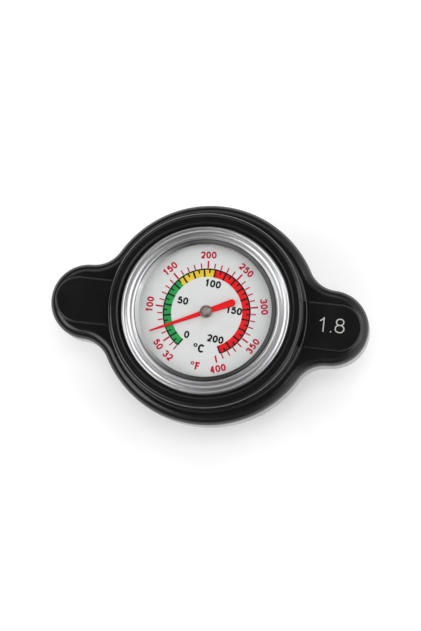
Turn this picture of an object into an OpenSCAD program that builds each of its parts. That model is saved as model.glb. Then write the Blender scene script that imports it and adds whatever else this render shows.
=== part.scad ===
// Winged radiator cap with a dial thermometer in its top.
// Millimetres. The origin is on the axis, at the rim of the filler neck that the upper gasket seals on.
// +Z points out of the neck towards the dial, and the wings lie along X.

/* [Shell] */
// Thickness of the skirt around the lock plate
skirt_wall = 3.05; // [2.6:0.05:5]
// How far the skirt hangs below the neck rim
skirt_drop = 2; // [1.8:0.1:5.5]
// Height of the flange and wings above the neck rim
wing_top = 6.2; // [5.6:0.1:7.5]
// Thickness of the wings
wing_t = 7.7; // [6:0.1:9]
// Span over the wing tips
wing_span = 76.8; // [72:0.2:86]
// Width of a wing
wing_w = 18.2; // [16:0.2:22]
// Radius of the blend between wing and flange
wing_blend = 7.5; // [5:0.5:7.5]
// Rounding of the upper edge of flange and wings
edge_round = 2.2; // [1:0.1:2.6]
// Rounding of the skirt's lower edge
skirt_round = 0.4; // [0.2:0.1:1]
// Wall and roof of the hollow wings
wing_wall = 1.8; // [1.4:0.1:2.4]
// Thickness of the ribs under the wings
rib_t = 1.2; // [0.8:0.1:1.6]
// Number of ribs under each wing
ribs = 2; // [1:1:3]
// Width of the raised pad on each wing
pad_w = 11.3; // [9:0.1:13]
// Span over the outer ends of the pads
pad_span = 74; // [68:0.2:75.6]
// Height of the pads above the wings
pad_h = 0.8; // [0.6:0.1:1.4]
// Rounding of the pad edges
pad_round = 0.5; // [0.2:0.1:0.6]
// Channel between the collar and each pad's inner end
pad_channel = 0.8; // [0.75:0.05:2]
// Height of the collar's top above the neck rim
collar_top = 13; // [11.5:0.1:15]
// Thickness of the collar around the bezel
collar_wall = 2.35; // [2.1:0.05:4]
// Rounding of the collar's upper edge
collar_round = 0.9; // [0.3:0.1:1.1]
// Fillet between collar and flange
foot_round = 0.6; // [0.3:0.05:0.7]
// Bevel at the mouth of the gauge pocket
mouth_bevel = 0.3; // [0.1:0.05:0.6]
// Thickness of the web between gauge and lock plate
web_t = 2; // [1.5:0.1:3]

/* [Gauge] */
// Outer diameter of the bezel
bezel_d = 40; // [38:0.5:44]
// Sheet thickness of the bezel
bezel_t = 0.6; // [0.4:0.05:0.8]
// Width of the bezel's front band
bezel_band = 3.05; // [2.4:0.05:3.4]
// Crown of the front band between its two beads
bezel_crown = 0.28; // [0.2:0.02:0.5]
// Width of the polished slope between the front band and the glass
slope_w = 1.2; // [0.8:0.05:1.4]
// Thickness of the glass
lens_t = 1.2; // [1:0.1:2]
// Lip of the ring that keeps the glass off the dial, measured inwards
ring_lip = 0.5; // [0.3:0.05:0.9]
// Drop of that lip from the glass to its edge
ring_drop = 0.6; // [0.4:0.05:1.2]
// Sheet thickness of the case and of the ring under the glass
sheet_t = 0.5; // [0.4:0.05:0.6]
// Height of the case under the dial
case_depth = 2; // [1.6:0.1:3]
// Height from the dial's seat to the top of the case flange
case_front = 2.7; // [2.4:0.1:3.4]
// Thickness of the gasket under the glass
lens_gasket_t = 0.4; // [0.2:0.1:0.6]
// Thickness of the dial plate
dial_t = 0.5; // [0.3:0.1:0.8]
// How far the gauge is turned clockwise from the wings, in degrees
dial_twist = 5; // [-30:1:30]
// Temperature that the pointer shows, in degrees Celsius
reading_degrees = 20; // [0:5:200]
// Length of the pointer from its axis to the tip
pointer_len = 14.2; // [12:0.1:14.6]
// Length of the pointer's tail
tail_len = 7.3; // [5:0.1:9]
// Width of the pointer beside the hub
pointer_w = 1.15; // [0.9:0.05:1.6]
// Width of the tail's end
tail_w = 1.7; // [1.2:0.1:2.2]
// Diameter of the pointer's hub
hub_d = 2.94; // [2.4:0.02:3.6]
// Diameter of the staff
staff_d = 1.2; // [1:0.1:1.6]

/* [Stem] */
// Diameter of the stem
stem_d = 5; // [4.4:0.1:6]
// Wall of the stem tube
stem_wall = 0.4; // [0.3:0.05:0.5]
// How far the stem reaches below the neck rim
stem_reach = 35; // [32:0.5:50]
// Thread diameter of the bush that carries the gauge
bush_d = 12; // [11:0.25:13]
// Thickness of the washer under the gauge case
washer_t = 0.5; // [0.4:0.1:1]
// Turns of the bimetal coil
coil_turns = 9; // [6:1:12]

/* [Neck fitting] */
// Outer diameter of the neck gasket
gasket_od = 33.6; // [32:0.2:35]
// Width of the neck gasket's ring
gasket_w = 3.9; // [3:0.1:5]
// Thickness of the neck gasket
gasket_t = 1.6; // [1.4:0.1:2.4]
// Inner diameter of the lock plate's cup
cup_bore = 44.6; // [43:0.2:47]
// Sheet thickness of the lock plate
cup_t = 0.9; // [0.7:0.05:1.2]
// Clear diameter between the bayonet lugs
lug_gap = 36.6; // [36:0.2:39]
// Depth of the lugs' upper face below the neck rim
lug_drop = 6.1; // [5:0.1:8]
// Width of each lug, in degrees
lug_arc = 64; // [40:2:76]
// Depth of the lock plate's rim between the lugs
cup_drop = 3; // [2:0.25:4.5]

/* [Valve] */
// Depth of the lower seal's face below the neck rim
seat_depth = 17.4; // [16:0.2:20]
// Outer diameter of the lower seal
seal_od = 24.4; // [23.6:0.2:25]
// Width of the lower seal's ring
seal_land = 3.8; // [3:0.1:4.2]
// Thickness of the lower seal
seal_t = 1.8; // [1.5:0.1:2.4]
// Thickness of the valve plate
plate_t = 1; // [0.8:0.1:1.5]
// Wire of the main spring
spring_wire = 1.5; // [1.1:0.1:1.7]
// Turns of the main spring
spring_turns = 5; // [4:1:5]
// Wall of the valve sleeve that slides on the stem
sleeve_wall = 0.92; // [0.7:0.02:1.2]
// Length of the sleeve below the valve plate's shoulder
sleeve_len = 6.3; // [5.9:0.1:8]
// Number of vent holes in the valve plate
vents = 6; // [4:1:8]
// Diameter of the vent holes
vent_d = 2.2; // [1.4:0.1:2.4]
// Wire of the vacuum spring
vacuum_wire = 0.5; // [0.4:0.05:0.55]
// Turns of the vacuum spring
vacuum_turns = 3.5; // [3:0.5:3.5]

/* [Fits] */
// Gap between the bezel and the collar's pocket
pocket_gap = 0.8; // [0.3:0.05:1]
// Gap between the lock plate and the shell
cup_gap = 0.25; // [0.15:0.05:0.4]
// Radial clearance of a sliding or turning fit
run_gap = 0.08; // [0.05:0.01:0.1]
// Radial clearance of a fixed fit
fix_gap = 0.03; // [0.02:0.01:0.05]
// Gap between faces that move past each other
face_gap = 0.3; // [0.3:0.05:0.4]
// Gap where one piece rests against another
touch_gap = 0.05; // [0.03:0.01:0.08]

/* [Hidden] */
$fn = 96;
// How far a cut runs past the face that it opens
over = 1;

// Stack on the axis, from the gasket up to the gauge
diaphragm_t = 0.4;
diaphragm_z = gasket_t + diaphragm_t;
cup_z = diaphragm_z + 2 * face_gap;
web_z = cup_z + cup_t;
pocket_z = web_z + web_t;
case_z = pocket_z + washer_t;

// Gauge, from the case back up to the bezel
bezel_r = bezel_d / 2;
bezel_in = bezel_r - bezel_t;
lip_r = bezel_r - bezel_band;
flange_r = bezel_in - 2 * touch_gap;
lip_cover = 0.85;
dial_land = 1.7;
case_in = lip_r + lip_cover;
case_r = case_in + sheet_t;
case_low = case_in - dial_land;
dial_z = case_z + case_depth;
dial_top = dial_z + dial_t;
dial_gap = 0.2;
dial_r = case_in - dial_gap;
flange_z = dial_z + case_front;
lens_z = flange_z + lens_gasket_t;
lens_top = lens_z + lens_t;
lens_gap = 0.3;
lens_r = flange_r - lens_gap;
lip_under = lens_top + touch_gap;
lip_z = lip_under + bezel_t / 2;
bead_d = bezel_r - lens_r - lens_gap / 2;
hem_d = 0.7;
slope_edge = 0.08;
crimp_z = flange_z - sheet_t - touch_gap - bezel_t;
crimp_in = case_r + face_gap;
ring_top = lens_z - touch_gap;
ring_gap = 0.15;
ring_r = case_in - ring_gap;
ring_sheet = 0.7 * sheet_t;

// Shell
pocket_r = bezel_r + pocket_gap;
collar_r = pocket_r + collar_wall;
cup_r = cup_bore / 2;
cup_out = cup_r + cup_t;
cavity_r = cup_out + cup_gap;
cap_r = cavity_r + skirt_wall;
wing_z = wing_top - wing_t;
wing_r = wing_w / 2;
wing_c = wing_span / 2 - wing_r;
blend_x = (wing_c ^ 2 + (cap_r + wing_blend) ^ 2 - (wing_r + wing_blend) ^ 2) / (2 * wing_c);
blend_y = sqrt((cap_r + wing_blend) ^ 2 - blend_x ^ 2);
pad_c = pad_span / 2 - pad_w / 2;
pad_in = collar_r + pad_channel;
key_w = 4;
key_depth = 1.6;
key_angles = [45 : 90 : 315];

// Stem and pointer
stem_r = stem_d / 2;
tube_in = stem_r - stem_wall;
tube_proud = 1;
tube_top = case_z + tube_proud;
tube_end = stem_r - stem_reach;
plug_len = 3;
staff_r = staff_d / 2;
bearing_r = tube_in - fix_gap;
upper_bearing_len = 2.4;
lower_bearing_len = 1.5;
bearing_flange_t = 0.4;
driver_t = 0.8;
driver_gap = 0.5;
driver_r = tube_in - driver_gap;
driver_z = -9.3;
driver_room = 1;
lower_bearing_z = driver_z + driver_t + driver_room;
pointer_t = 0.4;
pointer_lift = 1;
pointer_z = dial_top + pointer_lift;
pointer_top = pointer_z + pointer_t;
tip_w = 0.32;
hub_full = 0.8;
hub_h = min(hub_full, lens_z - pointer_top - face_gap);
dial_hole_gap = 0.7;
dial_hole_r = staff_r + dial_hole_gap;
zero_angle = 150;
sweep_per_degree = 1.5;
pointer_angle = 90 - dial_twist + zero_angle - sweep_per_degree * reading_degrees;

// Bush, nut and diaphragm
bush_r = bush_d / 2;
bush_step = 2;
spigot_proud = 0.7;
spigot_r = bush_r - bush_step;
spigot_len = sheet_t + spigot_proud;
bush_hole_r = bush_r + 5 * fix_gap;
nut_wall = 2;
nut_af = bush_d + 2 * nut_wall;
nut_corner = nut_af / 2 / cos(30);
hub_drop = 0.1;
hub_z = -hub_drop - diaphragm_t;
nut_z = hub_z + diaphragm_t + face_gap;
bell_gap = 0.5;
bell_r = nut_corner + bell_gap;
gasket_in = gasket_od / 2 - gasket_w;
rim_r = gasket_in - face_gap;
rim_over = 0.2;
diaphragm_r = gasket_od / 2 + rim_over;
clip_t = 0.5;
clip_z = hub_z - face_gap - clip_t;
clip_w = 1.2;
groove_depth = 0.6;
bush_nose = 1;
bush_bevel = 0.5;
clip_r = bush_r + clip_w;
groove_r = bush_r - groove_depth;
bush_end = clip_z - bush_nose;

// Spring seat and main spring
seat_t = 0.4;
seat_gap = 0.4;
seat_in = clip_r + seat_gap;
seat_out = seat_in + seat_t;
seat_z = hub_z - seat_t;
seat_guide = 1.7;
guide_gap = 0.65;
seat_lip = 0.5;
spring_r = seat_out + guide_gap + spring_wire / 2;
seat_rim = spring_r + spring_wire / 2 + seat_lip;
plate_z = seal_t - seat_depth;
plate_top = plate_z + plate_t;
spring_hi = seat_z - touch_gap - spring_wire / 2;
spring_lo = plate_top + touch_gap + spring_wire / 2;
end_gap = 0.5;
spring_end_pitch = spring_wire + end_gap;

// Valve plate, vacuum valve and their rings
seal_r = seal_od / 2;
seal_in = seal_r - seal_land;
boss_r = seal_in - touch_gap;
seal_proud = 0.8;
plate_rim = 0.3;
boss_h = seal_t - seal_proud;
boss_z = plate_z - boss_h;
sleeve_in = stem_r + run_gap;
sleeve_r = sleeve_in + sleeve_wall;
sleeve_proud = 1.2;
sleeve_top = plate_top + sleeve_proud;
sleeve_end = boss_z - sleeve_len;
vacuum_seal_t = 0.75;
vacuum_disc_t = 0.5;
vacuum_inset = 0.75;
vacuum_r = boss_r - vacuum_inset;
vacuum_seal_top = boss_z - touch_gap;
vacuum_z = vacuum_seal_top - vacuum_seal_t - vacuum_disc_t;
vacuum_hub_wall = 0.8;
vacuum_hub_r = sleeve_r + vacuum_hub_wall;
vacuum_hub_len = 0.7;
vent_r = (sleeve_r + vacuum_r) / 2;
sleeve_nose = 0.4;
vacuum_clip_w = 1.9;
vacuum_groove = 0.4;
vacuum_guide_gap = 0.25;
vacuum_clip_z = sleeve_end + sleeve_nose;
vacuum_clip_r = sleeve_r + vacuum_clip_w;
vacuum_groove_r = sleeve_r - vacuum_groove;
vacuum_spring_r = vacuum_hub_r + vacuum_guide_gap + vacuum_wire / 2;
vacuum_hi = vacuum_z - touch_gap - vacuum_wire / 2;
vacuum_lo = vacuum_clip_z + clip_t + touch_gap + vacuum_wire / 2;
collar_h = 1;
stop_gap = 0.2;
stop_w = 1.5;
stop_bevel = 0.4;
stop_z = sleeve_end - stop_gap - collar_h;
stop_r = stem_r + stop_w;

// Bimetal coil
strip_w = 1.1;
strip_t = 0.3;
coil_room = 0.65;
coil_r = tube_in - coil_room;
coil_hi = driver_z - touch_gap - strip_w / 2;
coil_lo = tube_end + plug_len + touch_gap + strip_w / 2;

rings_per_turn = 16;
seal_edge = 0.3;

// Height of a coil after t turns: the first and last turn have the end pitch, the rest share what is left
function coil_rise(t, turns, height, end_pitch) =
    let (mid = (height - 2 * end_pitch) / (turns - 2))
    t < 1 ? end_pitch * t
    : t < turns - 1 ? end_pitch + mid * (t - 1)
    : height - end_pitch * (turns - t);

// Middle line of a coil that climbs from lo to hi, without its straight ends
function coil_line(r, lo, hi, turns, end_pitch) =
    [for (i = [0 : rings_per_turn * turns])
        let (t = i / rings_per_turn)
        [r * cos(360 * t), r * sin(360 * t), lo + coil_rise(t, turns, hi - lo, end_pitch)]];

// One cross-section of a coil, at the middle point p and turned by a
function coil_ring(p, a, section) =
    [for (s = section) p + s[0] * [cos(a), sin(a), 0] + s[1] * [0, 0, 1]];

// Least distance between turns of a middle line, less the size of its section
function coil_gap(line, size) =
    min([for (i = [0 : len(line) - 1], j = [i + rings_per_turn / 2 : 1 : len(line) - 1])
        norm(line[i] - line[j])]) - size;

function round_section(d) = [for (i = [0 : 7]) d / 2 * [cos(45 * i), sin(45 * i)]];
function strip_section(w, h) = [[w, h], [-w, h], [-w, -h], [w, -h]] / 2;

main_line = coil_line(spring_r, spring_lo, spring_hi, spring_turns, spring_end_pitch);
vacuum_pitch = (vacuum_hi - vacuum_lo) / vacuum_turns;
vacuum_line = coil_line(vacuum_spring_r, vacuum_lo, vacuum_hi, vacuum_turns, vacuum_pitch);
coil_pitch = (coil_hi - coil_lo) / coil_turns;
bimetal_line = coil_line(coil_r, coil_lo, coil_hi, coil_turns, coil_pitch);
echo(main_spring_gap = coil_gap(main_line, spring_wire));
echo(vacuum_spring_gap = coil_gap(vacuum_line, vacuum_wire));
echo(bimetal_coil_gap = coil_gap(bimetal_line, strip_w));

// A flat block from the origin whose upper right corner is rounded
module corner_block(size, r) {
    square([size[0], size[1] - r]);
    square([size[0] - r, size[1]]);
    translate(size - [r, r]) circle(r);
}

// What a rounding takes off a lower right corner that lies at the origin
module corner_waste(r) {
    difference() {
        translate([-r, -over]) square(r + over);
        translate([-r, r]) circle(r);
    }
}

// Section of a seal that hangs from the origin, with its two lower edges rounded
module seal_profile(w, h) {
    translate([0, seal_edge - h]) square([w, h - seal_edge]);
    translate([seal_edge, -h]) square([w - 2 * seal_edge, h]);
    for (x = [seal_edge, w - seal_edge]) translate([x, seal_edge - h]) circle(seal_edge);
}

// A plain ring between two heights
module ring(r_out, r_in, low, high) {
    rotate_extrude() translate([r_in, low]) square([r_out - r_in, high - low]);
}

// An unbroken coil swept along its middle line, with a straight run of one wire at each end
module coil(line, turns, section, run) {
    last = len(line) - 1;
    turn = 360 * turns;
    start = line[0] - run * [0, 1, 0];
    end = line[last] + run * [-sin(turn), cos(turn), 0];
    sections = concat(
        [coil_ring(start, 0, section)],
        [for (i = [0 : last]) coil_ring(line[i], 360 * i / rings_per_turn, section)],
        [coil_ring(end, turn, section)]);
    n = len(section);
    top = n * (len(sections) - 1);
    sides = [for (k = [0 : len(sections) - 2], i = [0 : n - 1], half = [0, 1])
        let (a = n * k + i, b = n * k + (i + 1) % n)
        half == 0 ? [a, b, b + n] : [a, b + n, a + n]];
    caps = [for (i = [1 : n - 2], end_cap = [0, 1])
        end_cap == 0 ? [0, i + 1, i] : [top, top + i, top + i + 1]];
    polyhedron([for (s = sections) each s], concat(sides, caps));
}

// A flat retaining ring with a gap, lying on height z
module clip_ring(r_out, r_in, z) {
    translate([0, 0, z]) linear_extrude(clip_t) difference() {
        circle(r_out);
        circle(r_in);
        polygon([[0, 0], 2 * r_out * [1, 0.5], 2 * r_out * [1, -0.5]]);
    }
}

// The wing's wall beside a blend, with its rounded edge, which a blend's cut leaves standing
module corner_cut() {
    square([2 * edge_round, wing_t + 2 * over - edge_round]);
    translate([edge_round, wing_t + 2 * over - edge_round]) circle(edge_round);
}

// One solid wing with a rounded upper edge that runs on into the flange's own
module wing_form() {
    translate([wing_c, 0, wing_z]) rotate_extrude() corner_block([wing_r, wing_t], edge_round);
    difference() {
        translate([0, 0, wing_z]) linear_extrude(wing_t)
            polygon([[0, 0], [blend_x, blend_y], [wing_c, 0], [blend_x, -blend_y]]);
        for (side = [-1, 1]) translate([blend_x, side * blend_y, wing_z - over]) rotate_extrude()
            difference() {
                square([wing_blend + edge_round, wing_t + 2 * over]);
                translate([wing_blend, -over]) corner_cut();
            }
    }
}

// Raised pad with a round outer end, an inner end that follows the collar, and rounded edges
module pad_form() {
    deep = pad_h + wing_wall;
    translate([0, 0, wing_top - wing_wall]) {
        difference() {
            rotate([90, 0, 90]) linear_extrude(pad_c) {
                translate([-pad_w / 2, 0]) square([pad_w, deep - pad_round]);
                translate([pad_round - pad_w / 2, 0]) square([pad_w - 2 * pad_round, deep]);
                for (side = [-1, 1]) translate([side * (pad_w / 2 - pad_round), deep - pad_round])
                    circle(pad_round);
            }
            rotate_extrude() {
                translate([0, -over]) square([pad_in, deep + 2 * over]);
                translate([pad_in, deep]) rotate(180) corner_waste(pad_round);
            }
        }
        translate([pad_c, 0, 0]) rotate_extrude() corner_block([pad_w / 2, deep], pad_round);
    }
}

// Hollow under one wing, parted by the ribs
module wing_hollow() {
    cell = (wing_w - 2 * wing_wall + rib_t) / (ribs + 1);
    translate([0, 0, wing_z - over]) linear_extrude(wing_t - wing_wall + over) difference() {
        translate([wing_c, 0]) circle(wing_r - wing_wall);
        circle(cap_r + rib_t);
        for (i = [1 : ribs]) translate([0, i * cell - wing_w / 2 + wing_wall - rib_t])
            square([wing_span, rib_t]);
    }
}

module cap_shell() {
    color("#1c1c1e") {
        difference() {
            union() {
                translate([0, 0, -skirt_drop]) rotate_extrude() difference() {
                    corner_block([cap_r, skirt_drop + wing_top], edge_round);
                    translate([cap_r, 0]) corner_waste(skirt_round);
                }
                translate([0, 0, wing_top - over]) rotate_extrude() {
                    corner_block([collar_r, collar_top - wing_top + over], collar_round);
                    difference() {
                        square([collar_r + foot_round, over + foot_round]);
                        translate([collar_r + foot_round, over + foot_round]) circle(foot_round);
                    }
                }
                for (a = [0, 180]) rotate(a) {
                    wing_form();
                    pad_form();
                }
            }
            rotate_extrude() polygon([[0, pocket_z], [pocket_r, pocket_z],
                [pocket_r, collar_top - mouth_bevel], [pocket_r + mouth_bevel, collar_top],
                [pocket_r + mouth_bevel, collar_top + over], [0, collar_top + over]]);
            translate([0, 0, -skirt_drop - over]) cylinder(r = cavity_r, h = web_z + skirt_drop + over);
            cylinder(r = bush_hole_r, h = pocket_z + over);
            for (a = [0, 180]) rotate(a) wing_hollow();
        }
        for (a = key_angles) rotate(a)
            translate([cavity_r - key_depth, -key_w / 2, cup_z + 3 * touch_gap])
                cube([key_depth + over, key_w, cup_t]);
    }
}

module lock_plate() {
    notch_w = key_w + 2 * cup_gap;
    notch_in = cavity_r - key_depth - cup_gap;
    gap_half = (180 - lug_arc) / 2;
    far = 4 * cup_out;
    color("#b9bcc0") difference() {
        rotate_extrude() difference() {
            polygon([[bush_hole_r, web_z], [bush_hole_r, cup_z], [cup_r, cup_z], [cup_r, -lug_drop],
                [lug_gap / 2, -lug_drop], [lug_gap / 2, -lug_drop - cup_t], [cup_out, -lug_drop - cup_t],
                [cup_out, web_z]]);
            translate([cup_out, -lug_drop - cup_t]) corner_waste(cup_t);
        }
        for (a = [0, 180]) rotate(a) translate([0, 0, -lug_drop - 2 * cup_t])
            linear_extrude(lug_drop + 2 * cup_t - cup_drop)
                polygon([[0, 0], far * [cos(gap_half), sin(gap_half)],
                    far * [cos(gap_half), -sin(gap_half)]]);
        for (a = key_angles) rotate(a) translate([notch_in, -notch_w / 2, cup_z])
            cube([cup_out, notch_w, cup_t + over]);
    }
}

module case_washer() {
    color("#7a3b2a") ring(nut_corner, bush_hole_r, pocket_z, case_z);
}

module gauge_case() {
    color("#c4c6c8") rotate_extrude() polygon([[spigot_r + fix_gap, case_z], [case_low + sheet_t, case_z],
        [case_low + sheet_t, dial_z - sheet_t], [case_r, dial_z - sheet_t], [case_r, flange_z - sheet_t],
        [flange_r, flange_z - sheet_t], [flange_r, flange_z], [case_in, flange_z], [case_in, dial_z],
        [case_low, dial_z], [case_low, case_z + sheet_t], [spigot_r + fix_gap, case_z + sheet_t]]);
}

module dial() {
    color("#c9cacb") ring(dial_r, dial_hole_r, dial_z, dial_top);
}

module dial_spacer() {
    inner = lip_r + ring_gap - ring_lip;
    color("#d5d7d9") rotate_extrude() polygon([[ring_r, dial_top], [ring_r, ring_top],
        [lip_r + ring_gap, ring_top], [inner, ring_top - ring_drop],
        [inner, ring_top - ring_drop - ring_sheet],
        [ring_r - ring_sheet, ring_top - ring_sheet], [ring_r - ring_sheet, dial_top]]);
}

module lens_gasket() {
    color("#222222") ring(flange_r - dial_gap, case_in, flange_z, lens_z);
}

module lens() {
    color("#dfeef2", 0.35) translate([0, 0, lens_z]) cylinder(r = lens_r, h = lens_t);
}

module bezel() {
    bead_in = bezel_r - bead_d;
    bead_z = lip_z - bead_d / 2;
    half = (bead_in - lip_r - hem_d) / 2;
    crown_r = (half ^ 2 + bezel_crown ^ 2) / (2 * bezel_crown);
    color("#d8dadc") rotate_extrude() {
        polygon([[lip_r - slope_w, lip_under], [lip_r + hem_d, lip_under], [lip_r + hem_d / 2, lip_under + hem_d / 2],
            [lip_r + hem_d / 4, lip_under + 0.9 * hem_d], [lip_r - slope_w, lip_under + slope_edge]]);
        translate([lip_r + hem_d / 2, lip_under + hem_d / 2]) circle(hem_d / 2);
        intersection() {
            translate([lip_r + hem_d + half, lip_z + bezel_crown - crown_r]) circle(crown_r, $fn = 720);
            translate([lip_r + hem_d / 2, lip_under])
                square([2 * half + (hem_d + bead_d) / 2, bezel_t / 2 + bezel_crown]);
        }
        translate([bezel_r - bead_d / 2, bead_z]) circle(bead_d / 2);
        difference() {
            polygon([[crimp_in, crimp_z], [bezel_r, crimp_z], [bezel_r, bead_z], [bezel_in, bead_z],
                [bezel_in, crimp_z + bezel_t], [crimp_in, crimp_z + bezel_t]]);
            translate([bezel_r, crimp_z]) corner_waste(bezel_t);
        }
    }
}

module stem_bush() {
    color("#c9a85a") rotate_extrude() polygon([[stem_r + fix_gap, bush_end], [bush_r - bush_bevel, bush_end],
        [bush_r, bush_end + bush_bevel], [bush_r, clip_z - touch_gap], [groove_r, clip_z - touch_gap],
        [groove_r, clip_z + clip_t + touch_gap], [bush_r, clip_z + clip_t + touch_gap], [bush_r, case_z],
        [spigot_r, case_z], [spigot_r, case_z + spigot_len], [stem_r + fix_gap, case_z + spigot_len]]);
}

module clamp_nut() {
    nut_h = cup_z - nut_z;
    color("#c7c9cb") difference() {
        intersection() {
            translate([0, 0, nut_z]) cylinder(r = nut_corner, h = nut_h, $fn = 6);
            translate([0, 0, nut_z]) cylinder(r1 = nut_af / 2, r2 = nut_af / 2 + nut_h, h = nut_h);
        }
        translate([0, 0, nut_z - over]) cylinder(r = bush_r + fix_gap, h = nut_h + 2 * over);
    }
}

module stem_tube() {
    color("#cfd1d3") ring(stem_r, tube_in, tube_end, tube_top);
}

module stem_plug() {
    color("#cfd1d3") {
        difference() {
            translate([0, 0, tube_end]) sphere(stem_r);
            translate([0, 0, tube_end]) cylinder(r = stem_d, h = stem_d);
        }
        translate([0, 0, tube_end - over]) cylinder(r = bearing_r, h = plug_len + over);
    }
}

module upper_bearing() {
    color("#c9a85a") {
        ring(bearing_r, staff_r + run_gap, tube_top - upper_bearing_len, tube_top);
        ring(stem_r, staff_r + run_gap, tube_top, tube_top + bearing_flange_t);
    }
}

module lower_bearing() {
    color("#c9a85a")
        ring(bearing_r, staff_r + run_gap, lower_bearing_z, lower_bearing_z + lower_bearing_len);
}

module bimetal_coil() {
    color("#b8a07a") coil(bimetal_line, coil_turns, strip_section(strip_t, strip_w), strip_t);
}

module swivel_clip() {
    color("#9a9da1") rotate(180) clip_ring(clip_r, groove_r + touch_gap, clip_z);
}

module stem_collar() {
    color("#cfd1d3") rotate_extrude() polygon([[stem_r + fix_gap, stop_z], [stop_r - stop_bevel, stop_z],
        [stop_r, stop_z + stop_bevel], [stop_r, stop_z + collar_h], [stem_r + fix_gap, stop_z + collar_h]]);
}

module pointer() {
    eye_in = 0.2;
    tail_c = tail_w / 2 - tail_len;
    color("#c8202c") translate([0, 0, pointer_z]) rotate(pointer_angle) linear_extrude(pointer_t)
        difference() {
            union() {
                polygon([[pointer_len, tip_w / 2], [0, pointer_w / 2], [tail_c, tail_w / 2],
                    [tail_c, -tail_w / 2], [0, -pointer_w / 2], [pointer_len, -tip_w / 2]]);
                translate([tail_c, 0]) circle(tail_w / 2);
                circle(hub_d / 2 - eye_in);
            }
            circle(staff_r + fix_gap);
        }
}

module pointer_hub() {
    crown_r = (hub_d ^ 2 / 4 + hub_h ^ 2) / (2 * hub_h);
    color("#b5b5b3") difference() {
        intersection() {
            translate([0, 0, pointer_top + hub_h - crown_r]) sphere(crown_r);
            translate([0, 0, pointer_top]) cylinder(d = hub_d + over, h = hub_h + over);
        }
        translate([0, 0, pointer_top - over]) cylinder(r = staff_r + fix_gap, h = over + hub_h / 2);
    }
}

module staff() {
    staff_top = pointer_top + hub_h / 2 - touch_gap;
    color("#a9acb0") {
        ring(driver_r, 0, driver_z, driver_z + driver_t);
        translate([0, 0, driver_z]) cylinder(r = staff_r, h = staff_top - driver_z);
    }
}

module diaphragm() {
    color("#c2c4c7") rotate_extrude() polygon([[bush_r + run_gap, hub_z], [bell_r + diaphragm_t / 2, hub_z],
        [rim_r, gasket_t], [diaphragm_r, gasket_t], [diaphragm_r, diaphragm_z],
        [rim_r - diaphragm_t / 2, diaphragm_z], [bell_r, hub_z + diaphragm_t],
        [bush_r + run_gap, hub_z + diaphragm_t]]);
}

module neck_gasket() {
    color("#262626") rotate_extrude() translate([gasket_in, gasket_t]) seal_profile(gasket_w, gasket_t);
}

module spring_seat() {
    color("#b9bcc0") {
        ring(seat_rim, seat_in, seat_z, hub_z);
        ring(seat_out, seat_in, seat_z - seat_guide, seat_z);
    }
}

module main_spring() {
    color("#a7aaae") coil(main_line, spring_turns, round_section(spring_wire), spring_wire);
}

module pressure_plate() {
    groove_low = vacuum_clip_z - touch_gap;
    groove_high = vacuum_clip_z + clip_t + touch_gap;
    color("#c4a45c") difference() {
        rotate_extrude() polygon([[sleeve_in, sleeve_end], [sleeve_r, sleeve_end], [sleeve_r, groove_low],
            [vacuum_groove_r, groove_low], [vacuum_groove_r, groove_high], [sleeve_r, groove_high],
            [sleeve_r, boss_z], [boss_r, boss_z], [boss_r, plate_z], [seal_r - plate_rim, plate_z],
            [seal_r - plate_rim, plate_top], [sleeve_r, plate_top], [sleeve_r, sleeve_top],
            [sleeve_in, sleeve_top]]);
        for (i = [0 : vents - 1]) rotate(360 / vents * i) translate([vent_r, 0, boss_z - over])
            cylinder(d = vent_d, h = plate_top - boss_z + 2 * over);
    }
}

module pressure_seal() {
    color("#262626") rotate_extrude() translate([seal_in, plate_z]) seal_profile(seal_land, seal_t);
}

module vacuum_clip() {
    color("#9a9da1") clip_ring(vacuum_clip_r, vacuum_groove_r + touch_gap, vacuum_clip_z);
}

module vacuum_spring() {
    color("#a7aaae") coil(vacuum_line, vacuum_turns, round_section(vacuum_wire), vacuum_wire);
}

module vacuum_disc() {
    color("#c4a45c") {
        ring(vacuum_r, sleeve_r + run_gap, vacuum_z, vacuum_z + vacuum_disc_t);
        ring(vacuum_hub_r, sleeve_r + run_gap, vacuum_z - vacuum_hub_len, vacuum_z);
    }
}

module vacuum_seal() {
    color("#262626")
        ring(vacuum_r - run_gap, sleeve_r + 2 * run_gap, vacuum_z + vacuum_disc_t, vacuum_seal_top);
}

cap_shell();
lock_plate();
case_washer();
gauge_case();
dial();
dial_spacer();
lens_gasket();
lens();
bezel();
stem_bush();
clamp_nut();
stem_tube();
stem_plug();
upper_bearing();
lower_bearing();
bimetal_coil();
swivel_clip();
stem_collar();
pointer();
pointer_hub();
staff();
diaphragm();
neck_gasket();
spring_seat();
main_spring();
pressure_plate();
pressure_seal();
vacuum_clip();
vacuum_spring();
vacuum_disc();
vacuum_seal();
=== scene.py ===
import math

import bmesh
import bpy
from mathutils import Matrix, Vector


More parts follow.
